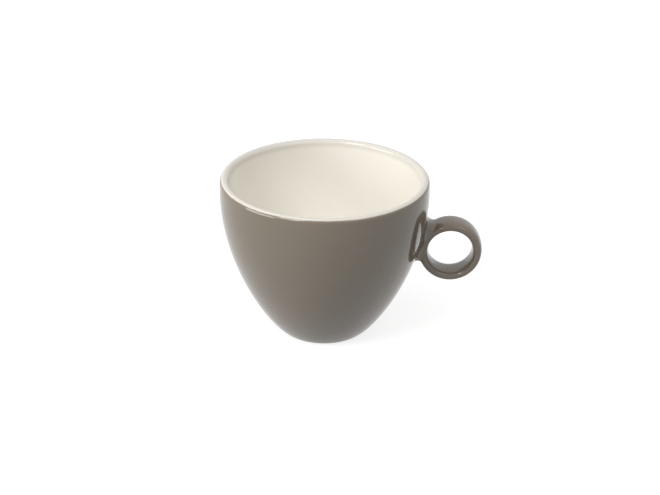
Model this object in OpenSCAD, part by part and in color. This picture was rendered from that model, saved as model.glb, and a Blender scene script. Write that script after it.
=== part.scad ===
// Cappuccino cup: a fired clay bowl with a small ring handle stuck on with slip,
// a white liner glaze inside and over the lip, and a coloured glaze outside.
// Millimetres. Z is up, the cup stands on Z = 0 round its own axis, the handle points along +X.

/* [Cup] */
// Outside diameter of the wall just under the lip
rim_d = 90; // [84:0.5:96]
// Height of the cup from the table to the top of the lip
cup_h = 72; // [66:0.5:80]
// Thickness of the wall at the lip, which is rounded over its whole thickness
lip_t = 3.7; // [3.2:0.1:4.4]
// Lean of the wall at the lip towards the axis, in degrees
rim_lean = 4; // [0:0.5:8]
// How far down from the lip the wall keeps that lean before it bends
rim_pull = 33.5; // [28:0.5:38]
// How far down from the lip the inside keeps that lean before it bends
bowl_rim_pull = 29; // [25:0.5:33]

/* [Foot] */
// Outside diameter of the foot's edge
foot_d = 37.4; // [34:0.2:42]
// Angle of the wall where it leaves the foot, up from the table, in degrees
foot_angle = 33; // [28:1:40]
// How far out from the foot the wall keeps that angle before it bends
foot_pull = 8.8; // [6:0.2:12]
// Inside diameter of the ring that the cup stands on
foot_ring_in_d = 30.4; // [26:0.2:31]
// Depth of the hollow under the cup
foot_hollow_h = 2; // [1.2:0.1:3]
// Rounding of the inner corners of that hollow
foot_hollow_fillet = 1; // [0.6:0.1:1.1]
// Height of the bare clay at the outside of the foot
foot_bare_h = 0.6; // [0.3:0.1:1.5]
// Thickness of the floor at the axis, glaze included
floor_t = 4.2; // [3.4:0.1:6]
// Radius of the flat middle of the floor
floor_flat_r = 6; // [3:0.5:8]
// How far out from that flat the floor stays level before it bends up
floor_pull = 24; // [20:0.5:27]

/* [Handle] */
// Height of the ring's centre above the table
ring_h = 39.2; // [36:0.2:43]
// Diameter of the finger hole
ring_hole_d = 19.2; // [17:0.2:22]
// Thickness of the ring between the hole and its outer edge
ring_t = 4.3; // [3.2:0.1:4.8]
// Width of the ring across the finger
ring_w = 11.6; // [9:0.2:14]
// Clear distance left between the ring's circle and the wall
ring_standoff = 0; // [0:0.1:0.8]
// Radius of the hollow corner between the wall and the top of the ring
top_corner_r = 3.1; // [2.4:0.1:3.8]
// Radius of the hollow corner between the wall and the bottom of the ring
bottom_corner_r = 2; // [1.6:0.1:2.6]
// Radius of the hollow corners at the two sides of the handle's root
side_corner_r = 2.2; // [2.1:0.1:2.8]
// Thickness of the slip that joins the handle to the wall
slip_t = 0.4; // [0.2:0.05:0.6]

/* [Glaze] */
// Thickness of the glaze
glaze_t = 0.3; // [0.2:0.05:0.35]
// Angle up the lip's rounding where the white glaze meets the coloured one, in degrees
glaze_split = 46; // [10:1:80]

/* [Hidden] */
$fn = 128;
clay_colour = "#d8d2c6";
slip_colour = "#cbc4b6";
white_colour = "#efece4";
taupe_colour = "#7d7469";
// Pieces of one curve of the wall, and of a small arc
wall_steps = 20;
arc_steps = 6;
lip_steps = 16;
// Points across the ring's section, and round its outline in four stretches
section_steps = 10;
ring_steps = 30;
top_steps = 5;
root_steps = 8;
bottom_steps = 4;
root_outline_steps = 16;
// How square the ring's section is: 2 is an ellipse, more is squarer
section_power = 2.6;
// Share of a hollow corner's radius that its centre stands off the wall
corner_bite_share = 0.86;
// Shares of the way round the hole, from each hollow corner to the wall side, that the corner's stretch takes
top_turn_share = 0.6;
bottom_turn_share = 1;
// How far the hollow corners and the whole root run on inside the wall, before the root is cut there
corner_run = 0.2;
root_run = 2.5;
// Halvings in each search for an angle
halvings = 30;

lip_r = lip_t / 2;
floor_z = foot_hollow_h + floor_t;
foot_hollow_r = foot_ring_in_d / 2;
ring_hole_r = ring_hole_d / 2;
ring_out_r = ring_hole_r + ring_t;

// Plane geometry: a direction, a point between two others, and a cubic curve shifted sideways by an inset
function direction(angle) = [cos(angle), sin(angle)];
function mix(a, b, share) = a + (b - a) * share;
function left_of(v) = [-v.y, v.x];
function steps(count) = [for (i = [0:count]) i / count];
function backwards(list) = [for (i = [len(list) - 1:-1:0]) list[i]];
function after_first(list) = [for (i = [1:len(list) - 1]) list[i]];
function curve_ends(c, share) = [
    mix(mix(c[0], c[1], share), mix(c[1], c[2], share), share),
    mix(mix(c[1], c[2], share), mix(c[2], c[3], share), share)
];
function curve_point(c, share, inset) =
    let (ends = curve_ends(c, share), along = (ends[1] - ends[0]) / norm(ends[1] - ends[0]))
    mix(ends[0], ends[1], share) + inset * left_of(along);

// The wall's outside, from the foot's edge up to the lip, and the inside, from the floor up to the lip
foot_corner = [foot_d / 2, 0];
rim_corner = [rim_d / 2, cup_h - lip_r * (1 - sin(rim_lean))];
up_the_rim = direction(90 + rim_lean);
lip_centre = rim_corner + lip_r * left_of(up_the_rim);
bowl_corner = rim_corner + lip_t * left_of(up_the_rim);
wall_curve = [
    foot_corner,
    foot_corner + foot_pull * direction(foot_angle),
    rim_corner - rim_pull * up_the_rim,
    rim_corner
];
bowl_curve = [
    [floor_flat_r, floor_z],
    [floor_flat_r + floor_pull, floor_z],
    bowl_corner - bowl_rim_pull * up_the_rim,
    bowl_corner
];

// The wall's curve is cut into pieces above the place where the glaze stops over the foot
function share_at(height) =
    lookup(height, [for (s = steps(wall_steps * wall_steps)) [curve_point(wall_curve, s, 0).y, s]]);
bare_share = share_at(foot_bare_h);
wall_shares = concat([0], [for (s = steps(wall_steps)) mix(bare_share, 1, s)]);
glazed_shares = [for (s = steps(wall_steps)) mix(bare_share, 1, s)];

function wall_points(shares, inset) = [for (s = shares) curve_point(wall_curve, s, inset)];
function bowl_points(inset) = [for (s = steps(wall_steps)) curve_point(bowl_curve, s, -inset)];
function lip_points(count, from_angle, to_angle, inset) =
    [for (s = steps(count)) lip_centre + (lip_r - inset) * direction(mix(from_angle, to_angle, s))];
function outer_lip(inset) = lip_points(arc_steps, rim_lean, glaze_split, inset);
function inner_lip(inset) = lip_points(lip_steps, glaze_split, 180 + rim_lean, inset);

// The foot's outer edge is an arc from the table up to the bare start of the wall
foot_start = curve_point(wall_curve, 0, glaze_t);
foot_edge_r = foot_start.y / (1 - cos(foot_angle));
foot_edge_x = foot_start.x - foot_edge_r * sin(foot_angle);
foot_edge = [
    for (s = steps(arc_steps)) [foot_edge_x, foot_edge_r] + foot_edge_r * direction(mix(-90, foot_angle - 90, s))
];

// The hollow under the cup, from the ring's inner side up to its ceiling and in to the axis
function hollow_points(inset) = concat(
    [[foot_hollow_r - inset, foot_bare_h]],
    [for (s = steps(arc_steps))
        [foot_hollow_r - foot_hollow_fillet, foot_hollow_h - foot_hollow_fillet]
            + (foot_hollow_fillet - inset) * direction(mix(0, 90, s))],
    [[0, foot_hollow_h - inset]]
);

module turned(outline) {
    rotate_extrude() polygon(outline);
}

// The full round form inside the wall's outer surface, which cuts the handle's root
module wall_form(inset) {
    outline = wall_points(wall_shares, inset);
    turned(concat([[0, outline[0].y]], outline, [[0, outline[len(outline) - 1].y]]));
}

// Radius of the glazed wall at a height above the ring's centre, measured from the ring's axis
glazed_wall = [for (p = wall_points(wall_shares, 0)) [p.y, p.x]];
ring_x = lookup(ring_h, glazed_wall) + ring_standoff + ring_out_r;
function wall_x(z) = lookup(ring_h + z, glazed_wall) - ring_x;

// A hollow corner is a circle that touches the ring from outside and meets the wall.
// Its centre is found by halving the range of angles round the ring.
function corner_centre(corner_r, angle) = (ring_out_r + corner_r) * direction(angle);
function corner_gap(corner_r, angle) =
    let (p = corner_centre(corner_r, angle))
    p.x - wall_x(p.y) - corner_bite_share * corner_r;
function corner_angle(corner_r, near, far, count) =
    let (middle = (near + far) / 2)
    count == 0
        ? middle
        : corner_gap(corner_r, middle) > 0
            ? corner_angle(corner_r, near, middle, count - 1)
            : corner_angle(corner_r, middle, far, count - 1);
top_angle = corner_angle(top_corner_r, 180, 90, halvings);
bottom_angle = corner_angle(bottom_corner_r, 180, 270, halvings);
top_centre = corner_centre(top_corner_r, top_angle);
bottom_centre = corner_centre(bottom_corner_r, bottom_angle);

// The turn round a hollow corner's centre at which its circle is a given depth inside the wall
function meeting_turn(centre, corner_r, depth, air, wall, count) =
    let (
        middle = (air + wall) / 2,
        p = centre + corner_r * direction(middle)
    )
    count == 0
        ? wall
        : p.x > wall_x(p.y) - depth
            ? meeting_turn(centre, corner_r, depth, middle, wall, count - 1)
            : meeting_turn(centre, corner_r, depth, air, middle, count - 1);

// The handle seen from the side, round the ring's axis: pairs of a point on the hole
// and a point on the outer edge, along the ring, the two hollow corners and the root
top_turn = (180 - top_angle) * top_turn_share;
bottom_turn = (bottom_angle - 180) * bottom_turn_share;
function pair(hole_angle, outer, inset) =
    [(ring_hole_r + inset) * direction(hole_angle), outer];
function ring_pairs(inset) = [
    for (i = [0:ring_steps - 1])
        let (angle = mix(bottom_angle - 360, top_angle, i / ring_steps))
        pair(angle, (ring_out_r - inset) * direction(angle), inset)
];
function top_pairs(inset) =
    let (
        corner_r = top_corner_r + inset,
        end = meeting_turn(top_centre, corner_r, corner_run, 270, 180, halvings)
    )
    [
        for (share = steps(top_steps))
            pair(
                top_angle + top_turn * share,
                top_centre + corner_r * direction(mix(top_angle + 180, end, share)),
                inset
            )
    ];
function root_pairs(inset) = [
    for (i = [1:root_steps - 1])
        let (
            share = i / root_steps,
            height = mix(top_centre.y - top_corner_r, bottom_centre.y + bottom_corner_r, share)
        )
        pair(
            mix(top_angle + top_turn, bottom_angle - bottom_turn, share),
            [wall_x(height) - root_run - inset, height],
            inset
        )
];
function bottom_pairs(inset) =
    let (
        corner_r = bottom_corner_r + inset,
        end = meeting_turn(bottom_centre, corner_r, corner_run, 90, 180, halvings)
    )
    [
        for (i = [0:bottom_steps - 1])
            let (share = i / bottom_steps)
            pair(
                mix(bottom_angle - bottom_turn, bottom_angle, share),
                bottom_centre + corner_r * direction(mix(end, bottom_angle - 180, share)),
                inset
            )
    ];
function handle_pairs(inset) =
    concat(ring_pairs(inset), top_pairs(inset), root_pairs(inset), bottom_pairs(inset));

// Half the handle's width at a point of its side view: full inside, rounded off towards
// both edges as on the ring's section, and flared where it comes near the wall
function rounding(share) =
    share <= 0
        ? 0
        : share >= 1
            ? 1
            : pow(1 - pow(1 - share, section_power), 1 / section_power);
function behind_corners(p) =
    let (angle = atan2(p.y, p.x), turned_angle = angle < 0 ? angle + 360 : angle)
    turned_angle > top_angle && turned_angle < bottom_angle;
function outer_depth(p, inset) =
    behind_corners(p)
        ? min(
            norm(p - top_centre) - top_corner_r - inset,
            norm(p - bottom_centre) - bottom_corner_r - inset
        )
        : ring_out_r - inset - norm(p);
function flare(p, inset) =
    let (
        reach = corner_bite_share * side_corner_r - max(p.x - wall_x(p.y), 0),
        corner_r = side_corner_r + inset
    )
    reach <= 0 ? 0 : corner_r - sqrt(corner_r * corner_r - reach * reach);
function half_width(p, inset) =
    let (
        depth = min(norm(p) - ring_hole_r - inset, outer_depth(p, inset)),
        full_width = ring_w / 2 - inset + flare(p, inset)
    )
    full_width * rounding(depth / (ring_t / 2 - inset));

// One loop of the handle's skin: out along the front, back along the rear
function section_loop(ends, inset) = [
    for (i = [0:2 * section_steps - 1])
        let (
            angle = 180 * i / section_steps,
            p = mix(ends[0], ends[1], (1 - cos(angle)) / 2),
            at_edge = i == 0 || i == section_steps,
            y = at_edge ? 0 : half_width(p, inset) * (i < section_steps ? -1 : 1)
        )
        [ring_x + p.x, y, ring_h + p.y]
];

module handle_form(inset) {
    loops = [for (ends = handle_pairs(inset)) section_loop(ends, inset)];
    rows = len(loops);
    columns = len(loops[0]);
    polyhedron(
        points = [for (loop = loops) for (p = loop) p],
        faces = [
            for (i = [0:rows - 1])
                for (j = [0:columns - 1])
                    let (
                        a = i * columns + j,
                        b = i * columns + (j + 1) % columns,
                        c = (i + 1) % rows * columns + (j + 1) % columns,
                        d = (i + 1) % rows * columns + j
                    )
                    each [[a, c, b], [a, d, c]]
        ]
    );
}

// The handle's outline where it meets the wall, seen along X, as one straight run into the wall
function meeting_height(centre, corner_r, air) =
    centre.y + corner_r * sin(meeting_turn(centre, corner_r, 0, air, 180, halvings));
root_top = meeting_height(top_centre, top_corner_r + glaze_t, 270);
root_bottom = meeting_height(bottom_centre, bottom_corner_r + glaze_t, 90);
root_side = [
    for (i = [1:root_outline_steps - 1])
        let (height = mix(root_bottom, root_top, (1 - cos(180 * i / root_outline_steps)) / 2))
        [half_width([wall_x(height), height], glaze_t), ring_h + height]
];
root_outline = concat(
    [[0, ring_h + root_bottom]],
    root_side,
    [[0, ring_h + root_top]],
    [for (p = backwards(root_side)) [-p.x, p.y]]
);
module root_run_in() {
    rotate([90, 0, 90])
        linear_extrude(rim_d)
            polygon(root_outline);
}

// The fired clay bowl with its bare foot ring
module cup_body() {
    color(clay_colour)
        turned(concat(
            foot_edge,
            wall_points(glazed_shares, glaze_t),
            after_first(outer_lip(glaze_t)),
            after_first(inner_lip(glaze_t)),
            after_first(backwards(bowl_points(glaze_t))),
            [[0, floor_z - glaze_t]],
            backwards(hollow_points(0)),
            [[foot_hollow_r, 0]]
        ));
}

// The clay ring handle, cut to the wall with room for the slip
module ring_handle() {
    color(clay_colour)
        difference() {
            handle_form(glaze_t);
            wall_form(glaze_t - slip_t);
        }
}

// The layer of slip between the handle and the wall
module joint_slip() {
    color(slip_colour)
        difference() {
            intersection() {
                wall_form(glaze_t - slip_t);
                root_run_in();
            }
            wall_form(glaze_t);
        }
}

// The white glaze on the floor, up the inside and over the lip
module inner_glaze() {
    color(white_colour)
        turned(concat(
            inner_lip(0),
            after_first(backwards(bowl_points(0))),
            [[0, floor_z], [0, floor_z - glaze_t]],
            bowl_points(glaze_t),
            after_first(backwards(inner_lip(glaze_t)))
        ));
}

// The coloured glaze on the outside, from the bare foot up to the white glaze
module outer_glaze() {
    color(taupe_colour)
        difference() {
            turned(concat(
                wall_points(glazed_shares, 0),
                after_first(outer_lip(0)),
                backwards(after_first(outer_lip(glaze_t))),
                backwards(wall_points(glazed_shares, glaze_t))
            ));
            root_run_in();
        }
}

// The coloured glaze all over the handle
module handle_glaze() {
    color(taupe_colour)
        difference() {
            difference() {
                handle_form(0);
                wall_form(0);
            }
            handle_form(glaze_t);
        }
}

// The glaze in the hollow under the cup
module base_glaze() {
    color(white_colour)
        turned(concat(hollow_points(0), backwards(hollow_points(glaze_t))));
}

cup_body();
ring_handle();
joint_slip();
inner_glaze();
outer_glaze();
handle_glaze();
base_glaze();
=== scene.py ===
"""Cappuccino cup: a clay bowl with a ring handle, white glaze inside and taupe glaze outside.

Every length is in metres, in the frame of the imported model: Z up, the cup stands on Z = 0
round its own axis, and the handle points along +X.
"""

import math

import bpy
import numpy as np
from bpy.props import FloatProperty, FloatVectorProperty, IntProperty, PointerProperty
from mathutils import Matrix, Vector


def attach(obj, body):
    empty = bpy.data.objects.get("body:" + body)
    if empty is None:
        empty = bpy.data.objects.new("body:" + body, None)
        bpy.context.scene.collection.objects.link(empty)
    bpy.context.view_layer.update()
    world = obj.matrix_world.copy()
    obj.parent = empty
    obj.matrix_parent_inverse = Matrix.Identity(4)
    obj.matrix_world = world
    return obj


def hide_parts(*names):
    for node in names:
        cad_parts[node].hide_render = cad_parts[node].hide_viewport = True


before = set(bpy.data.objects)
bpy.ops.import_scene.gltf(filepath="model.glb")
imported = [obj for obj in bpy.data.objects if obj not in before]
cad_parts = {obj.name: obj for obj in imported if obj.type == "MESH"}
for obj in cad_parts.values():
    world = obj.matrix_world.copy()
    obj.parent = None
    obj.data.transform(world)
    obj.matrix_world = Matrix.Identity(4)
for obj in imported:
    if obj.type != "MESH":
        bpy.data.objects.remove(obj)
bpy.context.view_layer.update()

bl_info = {
    "name": "Cappuccino cup",
    "version": (1, 0, 0),
    "blender": (4, 5, 0),
    "location": "3D View > Sidebar > Cup",
    "description": "Builds a glazed cappuccino cup with a ring handle",
    "category": "Add Mesh",
}

MILLI = 0.001
# Points that lie on one grid place of this width become one point of a mesh
WELD = 1e-7
# Edges that turn by more than this many degrees are shaded sharp
SHARP = 50
# How far the ring settles into the wall when it is stuck on
SEAT = 0.00003

# The wall's and the ring section's points, and the section table's spacing and its places each way
WALL_POINTS = 4001
SECTION_POINTS = 481
TABLE_STEP = 0.0001
TABLE_PLACES = 180
# Below this steepness the section table's direction is left short
LEAST_STEEP = 0.2
# The largest cosine between the ring's and the wall's directions at which they are still joined
MOST_ALIKE = 0.98
# Places tried along a curve or a turn, and how often a search halves its range
TRIES = 2001
HALVINGS = 50
# Keeps a division by a distance from failing
TINY = 1e-9
# The shares of the ring's outer radius, up or down from its centre, between which the root's tips are sought
TIP_RANGE = (0.5, 1.6)
# The share of the ring's outer radius, up and down from its centre, over which the hollow corner changes
CORNER_REACH = 0.65
# Rows of the handle's skin: round the ring, over each hollow corner of the side view, and along the root
RING_ROWS = 180
CORNER_ROWS = 40
ROOT_ROWS = 119
# The shares of the turn towards the cup, above and below, that the corners' rows take at the finger hole
TOP_SHARE, LOW_SHARE = 0.45, 0.75
# The swelling of the rows near the root's tips, as a share of their way into the wall, and how fast it fades
ROOT_SWELL = 0.275
SWELL_FADE = 2.5
# How far the root's edge runs on below the wall's surface
ROOT_SUNK = 0.00035

# Half the width of the blend between the two glazes, and the width over which the taupe thins below it,
# as turns round the lip's rounding
MELT = 0.16
THINNING = 0.7
# Scales of the noise in the glazes: clouds, unevenness of the line, gloss, ripples and grain
CLOUDS, WAVER, GLOSS, RIPPLES, GRAIN = 55.0, 160.0, 70.0, 210.0, 1500.0
# Scales of the noise in the clay: specks and grain
CLAY_SPECKS, CLAY_GRAIN = 900.0, 2600.0
# Heights of the bumps
GLAZE_BUMP = 0.000035
CLAY_BUMP = 0.00006

# How far the floor lies below the foot, so that the two don't share a plane
FLOOR_GAP = 0.00005
# The floor's own grey under the lamps, and the glow that makes up for it: near the cup, and beyond a distance
FLOOR_GREY = 0.36
NEAR_GLOW, FAR_GLOW = 0.8, 1.0
GLOW_FROM, GLOW_TO = 0.15, 0.9
LAMP_DISTANCE = 1.1
LAMP_AIM_H = 0.04
SENSOR_MM = 36


def length(name, description, default, **more):
    return FloatProperty(name=name, description=description, default=default, unit="LENGTH", precision=5, **more)


def angle(name, description, degrees):
    return FloatProperty(name=name, description=description, default=math.radians(degrees), subtype="ANGLE")


def colour(name, description, default):
    return FloatVectorProperty(
        name=name, description=description, default=default, size=3, min=0.0, max=1.0, subtype="COLOR"
    )


class CupSizes(bpy.types.PropertyGroup):
    """The sizes of the cup and its handle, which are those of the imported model"""

    rim_d: length("Rim", "Diameter of the wall just under the lip", 0.09)
    cup_h: length("Height", "From the table to the top of the lip", 0.072)
    lip_t: length("Lip", "Thickness of the wall at the lip", 0.0037)
    rim_lean: angle("Rim lean", "Lean of the wall at the lip towards the axis", 4)
    rim_pull: length("Rim pull", "How far down from the lip the wall keeps its lean", 0.0335)
    bowl_rim_pull: length("Bowl rim pull", "How far down from the lip the inside keeps its lean", 0.029)
    foot_d: length("Foot", "Diameter of the foot's outer edge", 0.0374)
    foot_angle: angle("Foot angle", "Angle of the wall where it leaves the foot", 33)
    foot_pull: length("Foot pull", "How far out from the foot the wall keeps its angle", 0.0088)
    foot_ring_in_d: length("Foot ring", "Inside diameter of the ring that the cup stands on", 0.0304)
    foot_hollow_h: length("Foot hollow", "Depth of the hollow under the cup", 0.002)
    foot_hollow_fillet: length("Hollow corner", "Rounding of the hollow's inner corner", 0.001)
    foot_bare_h: length("Bare foot", "Height of the bare clay at the foot", 0.0006)
    floor_t: length("Floor", "Thickness of the floor at the axis", 0.0042)
    floor_flat_r: length("Floor flat", "Radius of the flat middle of the floor", 0.006)
    floor_pull: length("Floor pull", "How far the floor stays level before it bends up", 0.024)
    glaze_t: length("Glaze", "Thickness of the glaze", 0.0003)
    glaze_split: angle("Glaze line", "Angle up the lip's rounding where the two glazes meet", 46)
    ring_h: length("Ring height", "Height of the ring's centre", 0.0392)
    ring_hole_d: length("Finger hole", "Diameter of the finger hole", 0.0192)
    ring_t: length("Ring thickness", "From the hole to the ring's outer edge", 0.0043)
    ring_w: length("Ring width", "Width of the ring across the finger", 0.0116)
    ring_standoff: length("Ring stand-off", "Distance from the ring's circle to the wall", 0.0)
    top_corner_r: length("Top corner", "Hollow corner between the wall and the ring's top", 0.0031)
    bottom_corner_r: length("Bottom corner", "Hollow corner between the wall and the ring's bottom", 0.002)
    side_corner_r: length("Side corner", "Hollow corner at the sides of the root", 0.0022)
    section_power: FloatProperty(
        name="Squareness", description="How square the ring's section is, where 2 is an ellipse", default=2.6
    )
    turns: IntProperty(name="Turns", description="Facets round the cup's axis", default=256, min=32, max=512)


class CupColours(bpy.types.PropertyGroup):
    """The colours of the clay and the glazes"""

    taupe: colour("Taupe", "The outside glaze", (0.187, 0.155, 0.116))
    taupe_thin: colour("Thin taupe", "The outside glaze where it runs thin", (0.26, 0.205, 0.15))
    white: colour("White", "The inside glaze", (0.915, 0.886, 0.818))
    # Darker than the white: painted shade on the lip's top for the dim light from overhead, together with the glaze
    # thinning over the lip
    white_thin: colour("Thin white", "The inside glaze where it thins over the lip", (0.71, 0.67, 0.6))
    clay: colour("Clay", "The bare clay of the foot", (0.66, 0.58, 0.47))
    slip: colour("Slip", "The slip behind the handle", (0.58, 0.5, 0.4))


class CupStage(bpy.types.PropertyGroup):
    """The camera, the lamps and the floor"""

    azimuth: angle("Azimuth", "Camera's turn round the cup from the front", 1.5)
    elevation: angle("Elevation", "Camera's height as an angle", 26.15)
    roll: angle("Roll", "Camera's tilt about its own axis", 0.58)
    distance: length("Distance", "From the camera to the point that it looks at", 0.623)
    focal: FloatProperty(name="Focal length", description="In millimetres on a 36 mm sensor", default=77.4)
    aim_right: length("Aim right", "The point looked at, right of the cup's axis", 0.00254)
    aim_up: length("Aim up", "The point looked at, above the table", 0.03796)
    floor_size: length("Floor", "Side of the square floor", 6.0)
    key_power: FloatProperty(name="Key lamp", description="Power of the key lamp in watts", default=4.6)
    left_power: FloatProperty(name="Left lamp", description="Power of the low lamp at the left in watts", default=7.4)
    right_power: FloatProperty(name="Right lamp", description="Power of the lamp at the right in watts", default=0.8)
    sky: FloatProperty(name="Sky", description="Strength of the light from all round", default=1.0)


# Curves in the plane of the axis: x is the distance from the axis and y the height


def direction(turn):
    return np.stack([np.cos(turn), np.sin(turn)], axis=-1)


def left_of(vectors):
    return np.stack([-vectors[..., 1], vectors[..., 0]], axis=-1)


def cubic(corners, share, inset):
    """A cubic curve by repeated mixing of its four corners, shifted left of its own direction by inset."""
    s = np.asarray(share)[:, None]
    a, b, c, d = (np.asarray(corner, float) for corner in corners)
    ab, bc, cd = a + (b - a) * s, b + (c - b) * s, c + (d - c) * s
    start, end = ab + (bc - ab) * s, bc + (cd - bc) * s
    along = (end - start) / np.linalg.norm(end - start, axis=1, keepdims=True)
    return start + (end - start) * s + np.reshape(inset, (-1, 1)) * left_of(along)


def arc(centre, radius, first, last, count):
    """Points on a circle between two turns."""
    return np.asarray(centre) + radius * direction(np.linspace(first, last, count))


class CupCurves:
    """The wall's outside, the bowl's inside, the lip and the foot, from the cup's sizes."""

    def __init__(self, sizes):
        self.sizes = sizes
        self.lip_r = sizes.lip_t / 2
        self.floor_z = sizes.foot_hollow_h + sizes.floor_t
        up_the_rim = direction(math.pi / 2 + sizes.rim_lean)
        rim = np.array([sizes.rim_d / 2, sizes.cup_h - self.lip_r * (1 - math.sin(sizes.rim_lean))])
        foot = np.array([sizes.foot_d / 2, 0.0])
        self.lip_centre = rim + self.lip_r * left_of(up_the_rim)
        bowl_top = rim + sizes.lip_t * left_of(up_the_rim)
        flat_edge = np.array([sizes.floor_flat_r, self.floor_z])
        self.wall = (
            foot,
            foot + sizes.foot_pull * direction(sizes.foot_angle),
            rim - sizes.rim_pull * up_the_rim,
            rim,
        )
        self.bowl = (
            flat_edge,
            flat_edge + np.array([sizes.floor_pull, 0.0]),
            bowl_top - sizes.bowl_rim_pull * up_the_rim,
            bowl_top,
        )

    def share_at(self, height):
        """The share of the wall's curve at which it reaches a height."""
        share = np.linspace(0, 1, TRIES)
        return float(np.interp(height, cubic(self.wall, share, 0.0)[:, 1], share))

    def wall_line(self, first, count, inset):
        return cubic(self.wall, np.linspace(first, 1, count), inset)

    def bowl_line(self, count, inset):
        return cubic(self.bowl, np.linspace(0, 1, count), -inset)

    def lip_line(self, first, last, count, inset):
        return arc(self.lip_centre, self.lip_r - inset, first, last, count)

    def hollow_line(self, count, inset):
        """The hollow under the cup, from its side up round the corner and in to the axis."""
        sizes = self.sizes
        side = sizes.foot_ring_in_d / 2
        corner = (side - sizes.foot_hollow_fillet, sizes.foot_hollow_h - sizes.foot_hollow_fillet)
        bend = arc(corner, sizes.foot_hollow_fillet - inset, 0, math.pi / 2, count)
        return np.vstack([[side - inset, sizes.foot_bare_h], bend, [0, sizes.foot_hollow_h - inset]])


# Meshes


def skin(name, points, material, node):
    """Puts a grid of points into a mesh as triangles. The rows close on themselves and so do the columns.
    Points that fall together, as at a pole or along an edge, are welded and their flat triangles dropped."""
    rows, columns = points.shape[:2]
    flat = points.reshape(-1, 3)
    places = np.round(flat / WELD).astype(np.int64)
    _, first, index = np.unique(places, axis=0, return_index=True, return_inverse=True)
    grid = index.reshape(rows, columns)
    right, down = np.roll(grid, -1, axis=1), np.roll(grid, -1, axis=0)
    across = np.roll(right, -1, axis=0)
    halves = ((grid, right, across), (grid, across, down))
    faces = np.concatenate([np.stack(half, axis=-1).reshape(-1, 3) for half in halves])
    whole = (faces[:, 0] != faces[:, 1]) & (faces[:, 1] != faces[:, 2]) & (faces[:, 2] != faces[:, 0])
    faces = faces[whole]
    corners = flat[first]
    swept = np.einsum("ij,ij->i", corners[faces[:, 0]], np.cross(corners[faces[:, 1]], corners[faces[:, 2]])).sum()
    if swept < 0:
        faces = faces[:, ::-1]
    mesh = bpy.data.meshes.new(name)
    mesh.from_pydata(corners.tolist(), [], faces.tolist())
    mesh.shade_smooth()
    mesh.set_sharp_from_angle(angle=math.radians(SHARP))
    mesh.materials.append(material)
    piece = bpy.data.objects.new(name, mesh)
    bpy.context.scene.collection.objects.link(piece)
    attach(piece, "root")
    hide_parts(node)


def turned(outline, turns):
    """A closed outline turned round Z: point (r, z) at turn a goes to (r cos a, r sin a, z)."""
    turn = np.linspace(0, 2 * math.pi, turns, endpoint=False)[:, None]
    radius, height = outline[:, 0], outline[:, 1]
    return np.stack([radius * np.cos(turn), radius * np.sin(turn), height + 0 * turn], axis=-1)


# The ring handle


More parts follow.
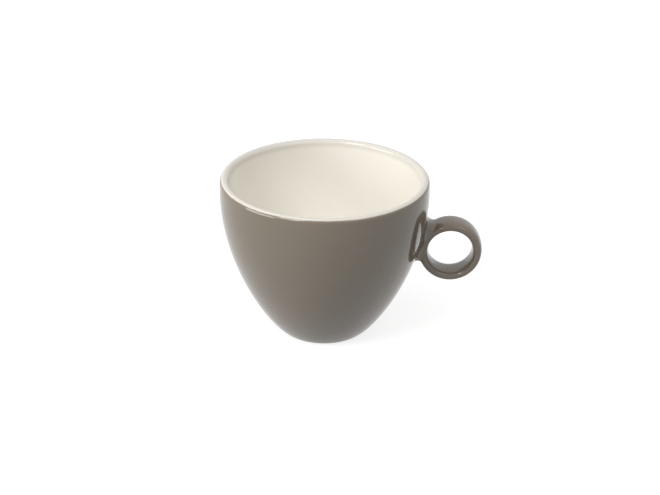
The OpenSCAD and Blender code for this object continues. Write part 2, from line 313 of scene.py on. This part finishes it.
class RingHandle:
    """The handle as the surface where a level is zero. The level is the distance to the ring and the
    distance to the wall, joined as if a ball had been rolled along the notch between the two.
    The side view is the plane Y = 0, where a place is its x and its z. Inset is how far the surface lies
    inside the glaze."""

    def __init__(self, sizes, curves, inset):
        self.sizes, self.inset = sizes, inset
        self.half_t, self.half_w = sizes.ring_t / 2 - inset, sizes.ring_w / 2 - inset
        self.middle_r = (sizes.ring_hole_d + sizes.ring_t) / 2
        self.hole_r, self.out_r = self.middle_r - self.half_t, self.middle_r + self.half_t
        self.wall = curves.wall_line(0, WALL_POINTS, 0.0)
        self.wall_slope = np.gradient(self.wall[:, 0], self.wall[:, 1])
        self.wall_lean = 1 / np.sqrt(1 + self.wall_slope**2)
        self.section = self.section_tables()
        stand = sizes.ring_standoff + sizes.ring_hole_d / 2 + sizes.ring_t - SEAT
        middle_x = self.wall_r(sizes.ring_h) + self.inset + stand
        self.centre = np.array([middle_x, sizes.ring_h])

    def wall_r(self, height):
        return np.interp(height, self.wall[:, 1], self.wall[:, 0]) - self.inset

    def section_tables(self):
        """For places every tenth of a millimetre beside the ring's section: the distance to it and the two
        parts of its direction. The section is a squared ellipse, (half thickness cos, half width sin) with
        both raised to a power, and the distance is that to the nearest of its points."""
        turn = np.linspace(0, math.pi / 2, SECTION_POINTS)
        power = self.sizes.section_power
        edge_s = self.half_t * np.cos(turn) ** (2 / power)
        edge_y = self.half_w * np.sin(turn) ** (2 / power)
        steps = np.arange(TABLE_PLACES) * TABLE_STEP
        s, y = np.meshgrid(steps, steps, indexing="ij")
        apart = np.hypot(s[..., None] - edge_s, y[..., None] - edge_y).min(axis=-1)
        inside = (s / self.half_t) ** power + (y / self.half_w) ** power < 1
        apart = np.where(inside, -apart, apart)
        up, across = np.gradient(apart, TABLE_STEP)
        across[:, 0] = 0
        return np.stack([apart, up, across])

    def to_ring(self, x, y, z):
        """The distance to the ring and its direction along the ring's own radius and along Y, from the
        section's tables, between whose places it runs straight."""
        s = np.hypot(x - self.centre[0], z - self.centre[1]) - self.middle_r
        s, y = np.broadcast_arrays(s, y)
        row, column = (np.minimum(np.abs(way) / TABLE_STEP, TABLE_PLACES - 1.5) for way in (s, y))
        low_row, low_column = row.astype(int), column.astype(int)
        row, column = row - low_row, column - low_column
        corners = [self.section[:, low_row + i, low_column + j] for i in (0, 1) for j in (0, 1)]
        here = (corners[0] * (1 - column) + corners[1] * column) * (1 - row)
        here = here + (corners[2] * (1 - column) + corners[3] * column) * row
        steep = np.maximum(np.hypot(here[1], here[2]), LEAST_STEEP)
        return here[0], np.sign(s) * here[1] / steep, np.sign(y) * here[2] / steep

    def to_wall(self, x, y, z):
        """The distance to the round wall: the radius over the wall's own, times the cosine of its lean."""
        return (np.hypot(x, y) - self.wall_r(z)) * np.interp(z, self.wall[:, 1], self.wall_lean)

    def facing(self, x, y, z):
        """The distance to the ring, and the cosine between the ring's direction and the wall's."""
        ring, up, across = self.to_ring(x, y, z)
        from_ring = np.maximum(np.hypot(x - self.centre[0], z - self.centre[1]), TINY)
        from_axis = np.maximum(np.hypot(x, y), TINY)
        lean = np.interp(z, self.wall[:, 1], self.wall_lean)
        out = up * (x - self.centre[0]) / from_ring * x / from_axis + across * y / from_axis
        rise = up * (z - self.centre[1]) / from_ring
        return ring, np.clip(out * lean - rise * np.sqrt(1 - lean**2), -MOST_ALIKE, MOST_ALIKE)

    def corner_r(self, z):
        """The ball's radius: the side's at the ring's centre, running up to the top's and down to the
        bottom's with the square of the height."""
        sizes = self.sizes
        rise = np.clip((z - self.centre[1]) / (CORNER_REACH * self.out_r), -1, 1)
        other = np.where(rise > 0, sizes.top_corner_r, sizes.bottom_corner_r)
        return sizes.side_corner_r + (other - sizes.side_corner_r) * rise**2 + self.inset

    def level(self, x, y, z):
        """A place between the two surfaces lies at a share of each one's direction from the ball's centre.
        Where both shares count, the level is the ball's radius less the way from its centre.
        Elsewhere it is the nearer distance."""
        ring, cosine = self.facing(x, y, z)
        wall, radius = self.to_wall(x, y, z), self.corner_r(z)
        ring_lack, wall_lack = radius - ring, radius - wall
        square = 1 - cosine**2
        ring_share = (ring_lack - cosine * wall_lack) / square
        wall_share = (wall_lack - cosine * ring_lack) / square
        way = np.sqrt(np.maximum(ring_share * ring_lack + wall_share * wall_lack, 0))
        return np.where((ring_share > 0) & (wall_share > 0), radius - way, np.minimum(ring, wall))

    def in_root(self, x, y, z):
        """Whether a place of the wall lies under the hollow corner."""
        ring, cosine = self.facing(x, y, z)
        return ring < self.corner_r(z) * (1 - cosine)

    def half_width(self, x, z):
        """The width at which the level turns from inside to outside, by halving, for each place of the
        side view."""
        low, high = np.zeros(x.shape), np.full(x.shape, 2 * self.half_w)
        for _ in range(HALVINGS):
            y = (low + high) / 2
            inside = self.level(x, y, z) < 0
            low, high = np.where(inside, y, low), np.where(inside, high, y)
        return low

    def outline_end(self, side):
        """The height at which the hollow corner runs out on the wall in the side view, by halving.
        Side is 1 for the top and -1 for the bottom."""
        near, far = (self.centre[1] + share * side * self.out_r for share in TIP_RANGE)
        for _ in range(HALVINGS):
            z = (near + far) / 2
            inside = self.in_root(self.wall_r(z), 0.0, z)
            near, far = (z, far) if inside else (near, z)
        return near

    def root_outline(self, z):
        """Half the width at which the hollow corner runs out on the wall at each height, by halving."""
        low, high = np.zeros(z.shape), np.full(z.shape, 2 * self.half_w)
        for _ in range(HALVINGS):
            y = (low + high) / 2
            x = np.sqrt(self.wall_r(z) ** 2 - y**2)
            inside = self.in_root(x, y, z)
            low, high = np.where(inside, y, low), np.where(inside, high, y)
        return low

    def side_view_corner(self, corner_r, air, end):
        """The hollow corner in the side view, from the ring to the wall. The ball's centre is as far off the
        ring as off the wall, and every point is found by halving along a ray from there."""
        turns = np.linspace(air, math.pi, TRIES)
        centres = self.centre + (self.out_r + corner_r) * direction(turns)
        reached = int(np.argmax(self.to_wall(centres[:, 0], 0.0, centres[:, 1]) <= corner_r))
        turn, centre = turns[reached], centres[reached]
        offset = np.array([self.wall_r(end), end]) - centre
        last = math.atan2(offset[1], offset[0]) % (2 * math.pi)
        first = (turn + math.pi) % (2 * math.pi)
        rays = direction(first + (last - first) * np.linspace(0, 1, CORNER_ROWS))
        near, far = np.zeros(CORNER_ROWS), np.full(CORNER_ROWS, 2 * corner_r)
        for _ in range(HALVINGS):
            way = (near + far) / 2
            place = centre + way[:, None] * rays
            outside = self.level(place[:, 0], 0.0, place[:, 1]) > 0
            near, far = np.where(outside, way, near), np.where(outside, far, way)
        points = centre + near[:, None] * rays
        points[-1] = [self.wall_r(end), end]
        return turn, points

    def bulge(self, way, height, weight):
        """How far a row of the side view swells into the wall, so that it reaches the tip at that height
        along the wall: a quarter of its way's part into the wall, and a tenth more."""
        slope = np.interp(height, self.wall[:, 1], self.wall_slope)
        into = np.array([-1, slope]) / math.hypot(1, slope)
        return ROOT_SWELL * (weight * np.maximum(way @ into, 0))[:, None] * into

    def points(self, columns):
        """The skin as closed loops, each over one line of the side view: out from the hole along the front
        to the outer edge or to the root's outline on the wall, and back along the rear. The lines are
        straight, but swell like a parabola near the two tips of the root."""
        sizes = self.sizes
        top_z, low_z = self.outline_end(1), self.outline_end(-1)
        top_turn, top_arc = self.side_view_corner(sizes.top_corner_r + self.inset, math.pi / 2, top_z)
        low_turn, low_arc = self.side_view_corner(sizes.bottom_corner_r + self.inset, 1.5 * math.pi, low_z)
        low_arc = low_arc[::-1]
        ring = np.linspace(low_turn - 2 * math.pi, top_turn, RING_ROWS + 1)[:-1]
        swing = (1 - np.cos(np.linspace(0, math.pi, ROOT_ROWS + 2)[1:-1])) / 2
        easing = np.linspace(0, 1, CORNER_ROWS)
        heights = top_z + swing * (low_z - top_z)
        root_y = self.root_outline(heights)
        root = np.stack([np.sqrt(self.wall_r(heights) ** 2 - root_y**2), heights], axis=-1)
        top_side, low_side = TOP_SHARE * (math.pi - top_turn), LOW_SHARE * (low_turn - math.pi)
        hole_turns = np.concatenate(
            [
                ring,
                top_turn + easing * top_side,
                top_turn + top_side + swing * (low_turn - low_side - top_turn - top_side),
                low_turn - low_side + easing[:-1] * low_side,
            ]
        )
        outer = np.concatenate([self.centre + self.out_r * direction(ring), top_arc, root, low_arc[:-1]])
        outer_y = np.concatenate([0 * ring, 0 * easing, root_y, 0 * easing[:-1]])
        fading = np.clip(1 - np.linspace(0, SWELL_FADE, len(heights)), 0, 1)
        near_top = np.concatenate([0 * ring, easing, fading, 0 * easing[:-1]])
        near_low = np.concatenate([0 * ring, 0 * easing, fading[::-1], 1 - easing[:-1]])
        inner = self.centre + self.hole_r * direction(hole_turns)
        way = outer - inner
        swell = self.bulge(way, top_z, near_top) + self.bulge(way, low_z, near_low)
        reach = np.linalg.norm(way, axis=1)[:, None]
        turn = np.linspace(0, math.pi, columns)[None]
        bow = np.sign(np.cos(turn)) * np.abs(np.cos(turn)) ** (2 / sizes.section_power)
        share = (self.half_t - np.where(bow > 0, self.half_t, reach - self.half_t) * bow) / reach
        share = share[..., None]
        place = inner[:, None] + way[:, None] * share + swell[:, None] * 4 * share * (1 - share)
        x, z = place.transpose(2, 0, 1)
        # The front and the rear stay apart between the two ends of a line, so that no fold of no thickness forms
        width = np.maximum(self.half_width(x, z), 10 * WELD)
        width[:, 0], width[:, -1] = 0, outer_y
        sunk = x[:, -1] - ROOT_SUNK * np.clip(outer_y / MILLI, 0, 1)
        end = [np.stack([sunk, side * width[:, -1], z[:, -1]], axis=-1)[:, None] for side in (-1, 1)]
        front = np.stack([x, -width, z], axis=-1)
        rear = np.stack([x, width, z], axis=-1)[:, ::-1]
        return np.concatenate([front, *end, rear], axis=1)


# Shaders


class Signal:
    """A number in a shader, so that its maths is written as an expression."""

    def __init__(self, sheet, socket):
        self.sheet = sheet
        self.socket = socket

    def __add__(self, other):
        return self.sheet.math("ADD", self, other)

    def __sub__(self, other):
        return self.sheet.math("SUBTRACT", self, other)

    def __rsub__(self, other):
        return self.sheet.math("SUBTRACT", other, self)

    def __mul__(self, other):
        return self.sheet.math("MULTIPLY", self, other)

    __radd__ = __add__
    __rmul__ = __mul__

    def clamped(self):
        return self.sheet.math("MINIMUM", self.sheet.math("MAXIMUM", self, 0.0), 1.0)


class Sheet:
    """A shader's nodes, each put in by one method."""

    def __init__(self, tree):
        self.tree = tree
        tree.nodes.clear()

    def node(self, kind, settings=None, **inputs):
        """Adds a node, applies its settings and then fills its sockets by name, or by place as in_0."""
        node = self.tree.nodes.new(kind)
        for name, value in (settings or {}).items():
            setattr(node, name, value)
        for name, value in inputs.items():
            key = int(name[3:]) if name.startswith("in_") else name.replace("_", " ")
            socket = node.inputs[key]
            value = value.socket if isinstance(value, Signal) else value
            if isinstance(value, bpy.types.NodeSocket):
                self.tree.links.new(value, socket)
            else:
                socket.default_value = value
        return node

    def math(self, operation, *values):
        settings = {"operation": operation}
        node = self.node("ShaderNodeMath", settings, **{f"in_{i}": v for i, v in enumerate(values)})
        return Signal(self, node.outputs[0])

    def places(self):
        return self.node("ShaderNodeTexCoord").outputs["Object"]

    def seen(self):
        """1 for rays from the camera, off gloss and through glass, and 0 for the rest."""
        path = self.node("ShaderNodeLightPath").outputs
        kinds = ("Is Camera Ray", "Is Glossy Ray", "Is Transmission Ray")
        straight, mirrored, through = (Signal(self, path[kind]) for kind in kinds)
        return self.math("MAXIMUM", self.math("MAXIMUM", straight, mirrored), through)

    def noise(self, places, scale, detail=2.0):
        node = self.node("ShaderNodeTexNoise", Vector=places, Scale=scale, Detail=detail)
        return Signal(self, node.outputs["Fac"])

    def mixed(self, share, first, second):
        node = self.node("ShaderNodeMix", {"data_type": "RGBA"}, in_0=share, in_6=first, in_7=second)
        return node.outputs[2]

    def ramp(self, value, low, high):
        """0 below low, 1 above high and a smooth step between."""
        settings = {"interpolation_type": "SMOOTHSTEP"}
        node = self.node("ShaderNodeMapRange", settings, in_0=value, in_1=low, in_2=high, in_3=0.0, in_4=1.0)
        return Signal(self, node.outputs[0])

    def bump(self, height, distance):
        return self.node("ShaderNodeBump", Height=height, Distance=distance, Strength=1.0).outputs[0]


def opaque(colour_value):
    return (*colour_value[:3], 1.0)


def new_material(name):
    material = bpy.data.materials.new(name)
    material.use_nodes = True
    return material, Sheet(material.node_tree)


def past_the_line(sheet, places, curves):
    """How far a place on the lip lies past the line between the glazes, as a turn round the lip's
    rounding, made a little uneven as glaze runs."""
    parts = sheet.node("ShaderNodeSeparateXYZ", in_0=places)
    x, y, z = (Signal(sheet, parts.outputs[i]) for i in range(3))
    out = sheet.math("SQRT", x * x + y * y) - float(curves.lip_centre[0])
    turn = sheet.math("ARCTAN2", z - float(curves.lip_centre[1]), out)
    return turn + (sheet.noise(places, WAVER, 1.0) - 0.5) * MELT - curves.sizes.glaze_split


def glaze_shader(sheet, places, tint, grain):
    """Glass over a tint, with an orange-peel surface that is felt rather than seen."""
    shader = sheet.node(
        "ShaderNodeBsdfPrincipled",
        in_0=tint,
        Roughness=0.07 + sheet.noise(places, GLOSS) * 0.05,
        IOR=1.52,
        Normal=sheet.bump(sheet.noise(places, RIPPLES) + 0.25 * grain, GLAZE_BUMP),
    )
    sheet.node("ShaderNodeOutputMaterial", in_0=shader.outputs[0])


def thinned(sheet, past, tint, colours):
    """The taupe where it thins towards the line between the glazes."""
    return sheet.mixed(sheet.ramp(past, -THINNING, 0.0) * 0.5, tint, opaque(colours.taupe_thin))


def taupe_material(name, curves, colours):
    """The outside glaze: faintly clouded and grained, warmer where it thins below the white line."""
    material, sheet = new_material(name)
    places = sheet.places()
    past = past_the_line(sheet, places, curves)
    cloud = sheet.noise(places, CLOUDS, 3.0)
    grain = sheet.noise(places, GRAIN)
    deep = [0.86 * c for c in colours.taupe]
    share = ((cloud - 0.5) * 0.5 + (grain - 0.5) * 0.35 + 0.12).clamped()
    tint = thinned(sheet, past, sheet.mixed(share, opaque(colours.taupe), opaque(deep)), colours)
    # Past the glaze line the lip turns to the thin white, which carries painted shade on the lip's top
    tint = sheet.mixed(sheet.ramp(past, -MELT, MELT), tint, opaque(colours.white_thin))
    glaze_shader(sheet, places, tint, grain)
    return material


def white_material(name, curves, colours, over_taupe):
    """The inside glaze: a warm white with faint clouds, darker on the lip's top, where painted shade stands for the
    dim light from overhead and the glaze thins, and which on the lip melts into the taupe."""
    material, sheet = new_material(name)
    places = sheet.places()
    height = Signal(sheet, sheet.node("ShaderNodeSeparateXYZ", in_0=places).outputs[2])
    sizes = curves.sizes
    # The lip's top is darkened: painted shade for the dim light from overhead, together with the glaze thinning there
    lip = sheet.ramp(height, sizes.cup_h - 1.2 * sizes.lip_t, sizes.cup_h - 0.1 * sizes.lip_t)
    cloud = sheet.noise(places, CLOUDS, 3.0)
    grain = sheet.noise(places, GRAIN)
    deep = [0.93 * c for c in colours.white]
    tint = sheet.mixed(((cloud - 0.5) * 0.6 + 0.1).clamped(), opaque(colours.white), opaque(deep))
    tint = sheet.mixed(lip, tint, opaque(colours.white_thin))
    if over_taupe:
        past = past_the_line(sheet, places, curves)
        thin = thinned(sheet, past, opaque(colours.taupe), colours)
        outside = sheet.ramp(height, curves.lip_centre[1], curves.lip_centre[1] + 0.2 * sizes.lip_t)
        tint = sheet.mixed(1 - (1 - sheet.ramp(past, -MELT, MELT)) * outside, thin, tint)
    glaze_shader(sheet, places, tint, grain)
    return material


def clay_material(name, tone):
    """Bare fired clay: a pale body with darker specks and a fine dry grain."""
    material, sheet = new_material(name)
    places = sheet.places()
    grain = sheet.noise(places, CLAY_GRAIN, 3.0)
    specks = sheet.ramp(sheet.noise(places, CLAY_SPECKS, 1.0), 0.68, 0.74)
    body = sheet.mixed(grain * 0.5, opaque(tone), opaque([0.82 * c for c in tone]))
    shader = sheet.node(
        "ShaderNodeBsdfPrincipled",
        in_0=sheet.mixed(specks * 0.5, body, opaque([0.4 * c for c in tone])),
        Roughness=0.78 + grain * 0.12,
        Normal=sheet.bump(grain, CLAY_BUMP),
    )
    sheet.node("ShaderNodeOutputMaterial", in_0=shader.outputs[0])
    return material


# Operators, one for each piece and one for the stage


def cup(context):
    return context.scene.cup_sizes, CupCurves(context.scene.cup_sizes), context.scene.cup_colours


class CUP_OT_clay_body(bpy.types.Operator):
    """Builds the clay bowl and handle, of which only the foot ring stays bare"""

    bl_idname = "cup.clay_body"
    bl_label = "Clay bowl and handle"

    def execute(self, context):
        sizes, curves, colours = cup(context)
        start = cubic(curves.wall, [0.0], sizes.glaze_t)[0]
        edge_r = start[1] / (1 - math.cos(sizes.foot_angle))
        edge = (start[0] - edge_r * math.sin(sizes.foot_angle), edge_r)
        side = sizes.foot_ring_in_d / 2
        inner_edge_r = sizes.foot_bare_h / 2
        outline = np.vstack(
            [
                arc(edge, edge_r, -math.pi / 2, sizes.foot_angle - math.pi / 2, 16)[:-1],
                curves.wall_line(0, 60, sizes.glaze_t),
                curves.lip_line(sizes.rim_lean, math.pi + sizes.rim_lean, 24, sizes.glaze_t)[1:],
                curves.bowl_line(60, sizes.glaze_t)[-2::-1],
                [[0, curves.floor_z - sizes.glaze_t]],
                curves.hollow_line(10, 0.0)[::-1],
                arc((side + inner_edge_r, inner_edge_r), inner_edge_r, math.pi, 1.5 * math.pi, 8),
            ]
        )
        material = clay_material("fired_clay", colours.clay)
        skin("clay_bowl", turned(outline, sizes.turns), material, "cup_body")
        handle = RingHandle(sizes, curves, sizes.glaze_t)
        skin("clay_handle", handle.points(41), material, "ring_handle")
        return {"FINISHED"}


class CUP_OT_slip(bpy.types.Operator):
    """Gives the slip behind the handle its finish"""

    bl_idname = "cup.slip"
    bl_label = "Slip"

    def execute(self, context):
        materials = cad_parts["joint_slip"].data.materials
        materials.clear()
        materials.append(clay_material("fired_slip", context.scene.cup_colours.slip))
        return {"FINISHED"}


class CUP_OT_white_glaze(bpy.types.Operator):
    """Builds the white glaze on the floor, up the inside and over the lip"""

    bl_idname = "cup.white_glaze"
    bl_label = "White glaze"

    def execute(self, context):
        sizes, curves, colours = cup(context)
        last = math.pi + sizes.rim_lean
        outline = np.vstack(
            [
                curves.lip_line(sizes.glaze_split, last, 40, 0.0),
                curves.bowl_line(110, 0.0)[-2::-1],
                [[0, curves.floor_z], [0, curves.floor_z - sizes.glaze_t]],
                curves.bowl_line(60, sizes.glaze_t),
                curves.lip_line(last, sizes.glaze_split, 30, sizes.glaze_t)[1:],
            ]
        )
        material = white_material("white_glaze", curves, colours, True)
        skin("white_glaze", turned(outline, sizes.turns), material, "inner_glaze")
        return {"FINISHED"}


class CUP_OT_taupe_glaze(bpy.types.Operator):
    """Builds the taupe glaze on the outside wall, with a rolled edge over the bare foot"""

    bl_idname = "cup.taupe_glaze"
    bl_label = "Taupe glaze"

    def execute(self, context):
        sizes, curves, colours = cup(context)
        bare = curves.share_at(sizes.foot_bare_h)
        roll = np.linspace(0, 1, 12)
        roll_share = bare + roll * sizes.glaze_t / (3 * sizes.foot_pull)
        rolled = cubic(curves.wall, roll_share, sizes.glaze_t * (1 - np.sqrt(1 - (1 - roll) ** 2)))
        outline = np.vstack(
            [
                rolled,
                curves.wall_line(roll_share[-1], 120, 0.0)[1:],
                curves.lip_line(sizes.rim_lean, sizes.glaze_split, 20, 0.0)[1:],
                curves.lip_line(sizes.glaze_split, sizes.rim_lean, 16, sizes.glaze_t),
                curves.wall_line(bare, 60, sizes.glaze_t)[-2:0:-1],
            ]
        )
        material = taupe_material("taupe_glaze", curves, colours)
        skin("taupe_glaze", turned(outline, sizes.turns), material, "outer_glaze")
        return {"FINISHED"}


class CUP_OT_base_glaze(bpy.types.Operator):
    """Builds the glaze in the hollow under the cup"""

    bl_idname = "cup.base_glaze"
    bl_label = "Base glaze"

    def execute(self, context):
        sizes, curves, colours = cup(context)
        outline = np.vstack([curves.hollow_line(16, 0.0), curves.hollow_line(16, sizes.glaze_t)[::-1]])
        material = white_material("base_glaze", curves, colours, False)
        skin("foot_glaze", turned(outline, sizes.turns), material, "base_glaze")
        return {"FINISHED"}


class CUP_OT_handle(bpy.types.Operator):
    """Builds the glazed ring handle, which runs into the wall with hollow corners"""

    bl_idname = "cup.handle"
    bl_label = "Ring handle"

    def execute(self, context):
        sizes, curves, colours = cup(context)
        handle = RingHandle(sizes, curves, 0.0)
        material = taupe_material("handle_glaze", curves, colours)
        skin("ring_handle_glaze", handle.points(81), material, "handle_glaze")
        return {"FINISHED"}


def lamp(name, place, aim, width, height, power):
    light = bpy.data.lights.new(name, "AREA")
    light.shape = "RECTANGLE"
    light.size = width
    light.size_y = height
    light.energy = power
    holder = bpy.data.objects.new(name, light)
    holder.matrix_world = Matrix.Translation(place) @ (aim - place).to_track_quat("-Z", "Y").to_matrix().to_4x4()
    bpy.context.scene.collection.objects.link(holder)


# The lamps: name, turn from the camera and rise in degrees, width, height, and the stage's value for the power
LAMPS = (
    ("key", -40, 42, 0.42, 0.42, "key_power"),
    ("left", -70, 11, 0.7, 0.5, "left_power"),
    ("right", 40, 45, 0.5, 0.5, "right_power"),
)

# Soft light from all round: turn from the camera and rise in degrees, strength, and how narrow it is
SKY = (
    (45, 15, 0.35, 8.0),
    (75, 15, 0.25, 8.0),
    (165, 15, 0.1, 8.0),
    (-165, 15, 0.04, 8.0),
    (120, 55, 0.34, 4.0),
    (180, 55, 0.2, 4.0),
    (0, 55, 0.52, 4.0),
    (0, 90, 0.82, 4.0),
)


def toward(azimuth, elevation):
    """The unit vector from the cup to a viewer at that azimuth and elevation."""
    flat = math.cos(elevation)
    return Vector((math.sin(azimuth) * flat, -math.cos(azimuth) * flat, math.sin(elevation)))


class CUP_OT_stage(bpy.types.Operator):
    """Sets the floor, the light and the camera"""

    bl_idname = "cup.stage"
    bl_label = "Stage"

    def execute(self, context):
        stage = context.scene.cup_stage
        self.floor(stage)
        self.sky(stage)
        self.camera(stage)
        middle = Vector((0.0, 0.0, LAMP_AIM_H))
        for name, turn, rise, width, height, power in LAMPS:
            way = toward(stage.azimuth + math.radians(turn), math.radians(rise))
            lamp(name, middle + way * LAMP_DISTANCE, middle, width, height, getattr(stage, power))
        context.scene.view_settings.view_transform = "Standard"
        return {"FINISHED"}

    def floor(self, stage):
        half = stage.floor_size / 2
        mesh = bpy.data.meshes.new("floor")
        corners = [(-half, -half), (half, -half), (half, half), (-half, half)]
        mesh.from_pydata([(x, y, -FLOOR_GAP) for x, y in corners], [], [(0, 1, 2, 3)])
        floor = bpy.data.objects.new("floor", mesh)
        bpy.context.scene.collection.objects.link(floor)
        material, sheet = new_material("floor")
        mesh.materials.append(material)
        paper = sheet.node("ShaderNodeBsdfDiffuse", in_0=(FLOOR_GREY, FLOOR_GREY, FLOOR_GREY, 1.0))
        away = sheet.node("ShaderNodeVectorMath", {"operation": "LENGTH"}, in_0=sheet.places())
        far = sheet.ramp(Signal(sheet, away.outputs["Value"]), GLOW_FROM, GLOW_TO)
        strength = sheet.seen() * (far * (FAR_GLOW - NEAR_GLOW) + NEAR_GLOW)
        glow = sheet.node("ShaderNodeEmission", in_0=(1.0, 1.0, 1.0, 1.0), in_1=strength)
        both = sheet.node("ShaderNodeAddShader", in_0=paper.outputs[0], in_1=glow.outputs[0])
        below = sheet.node("ShaderNodeNewGeometry").outputs["Backfacing"]
        clear = sheet.node("ShaderNodeBsdfTransparent")
        whole = sheet.node("ShaderNodeMixShader", in_0=below, in_1=both.outputs[0], in_2=clear.outputs[0])
        sheet.node("ShaderNodeOutputMaterial", in_0=whole.outputs[0])

    def sky(self, stage):
        world = bpy.data.worlds.new("sky")
        bpy.context.scene.world = world
        world.use_nodes = True
        sheet = Sheet(world.node_tree)
        seen = sheet.seen()
        way = sheet.node("ShaderNodeTexCoord").outputs["Generated"]
        strength = 0.0
        for turn, rise, power, narrowness in SKY:
            middle = toward(stage.azimuth + math.radians(turn), math.radians(rise))
            facing = sheet.node("ShaderNodeVectorMath", {"operation": "DOT_PRODUCT"}, in_0=way, in_1=middle)
            facing = Signal(sheet, facing.outputs["Value"])
            lit = sheet.math("POWER", sheet.math("MAXIMUM", facing, 0.0), narrowness)
            strength = strength + lit * (power * stage.sky)
        glow = sheet.node("ShaderNodeBackground", in_0=(1.0, 1.0, 1.0, 1.0), in_1=seen + (1 - seen) * strength)
        sheet.node("ShaderNodeOutputWorld", in_0=glow.outputs[0])

    def camera(self, stage):
        """The camera looks along -back, with its right and up turned by the roll."""
        back = toward(stage.azimuth, stage.elevation)
        right = Vector((math.cos(stage.azimuth), math.sin(stage.azimuth), 0.0))
        up = back.cross(right)
        rolled_right = math.cos(stage.roll) * right + math.sin(stage.roll) * up
        rolled_up = back.cross(rolled_right)
        aim = Vector((stage.aim_right * right.x, stage.aim_right * right.y, stage.aim_up))
        view = bpy.data.cameras.new("camera")
        view.sensor_width = SENSOR_MM
        view.lens = stage.focal
        view.clip_start = 0.01
        holder = bpy.data.objects.new("camera", view)
        turn = Matrix((rolled_right, rolled_up, back)).transposed().to_4x4()
        holder.matrix_world = Matrix.Translation(aim + back * stage.distance) @ turn
        bpy.context.scene.collection.objects.link(holder)
        bpy.context.scene.camera = holder


class CUP_PT_panel(bpy.types.Panel):
    """Lists the cup's pieces and its stage"""

    bl_idname = "CUP_PT_panel"
    bl_label = "Cappuccino cup"
    bl_space_type = "VIEW_3D"
    bl_region_type = "UI"
    bl_category = "Cup"

    def draw(self, context):
        for operator in OPERATORS:
            self.layout.operator(operator.bl_idname)
        for group in (context.scene.cup_sizes, context.scene.cup_colours, context.scene.cup_stage):
            box = self.layout.box()
            for name in group.__annotations__:
                box.prop(group, name)


GROUPS = {"cup_sizes": CupSizes, "cup_colours": CupColours, "cup_stage": CupStage}
OPERATORS = (
    CUP_OT_clay_body,
    CUP_OT_slip,
    CUP_OT_white_glaze,
    CUP_OT_taupe_glaze,
    CUP_OT_base_glaze,
    CUP_OT_handle,
    CUP_OT_stage,
)


def register():
    for group in GROUPS.values():
        bpy.utils.register_class(group)
    for name, group in GROUPS.items():
        setattr(bpy.types.Scene, name, PointerProperty(type=group))
    for operator in OPERATORS:
        bpy.utils.register_class(operator)
    bpy.utils.register_class(CUP_PT_panel)


def unregister():
    bpy.utils.unregister_class(CUP_PT_panel)
    for operator in reversed(OPERATORS):
        bpy.utils.unregister_class(operator)
    for name, group in GROUPS.items():
        delattr(bpy.types.Scene, name)
        bpy.utils.unregister_class(group)


def main():
    register()
    bpy.ops.cup.clay_body()
    bpy.ops.cup.slip()
    bpy.ops.cup.white_glaze()
    bpy.ops.cup.taupe_glaze()
    bpy.ops.cup.base_glaze()
    bpy.ops.cup.handle()
    bpy.ops.cup.stage()


if __name__ == "__main__":
    main()
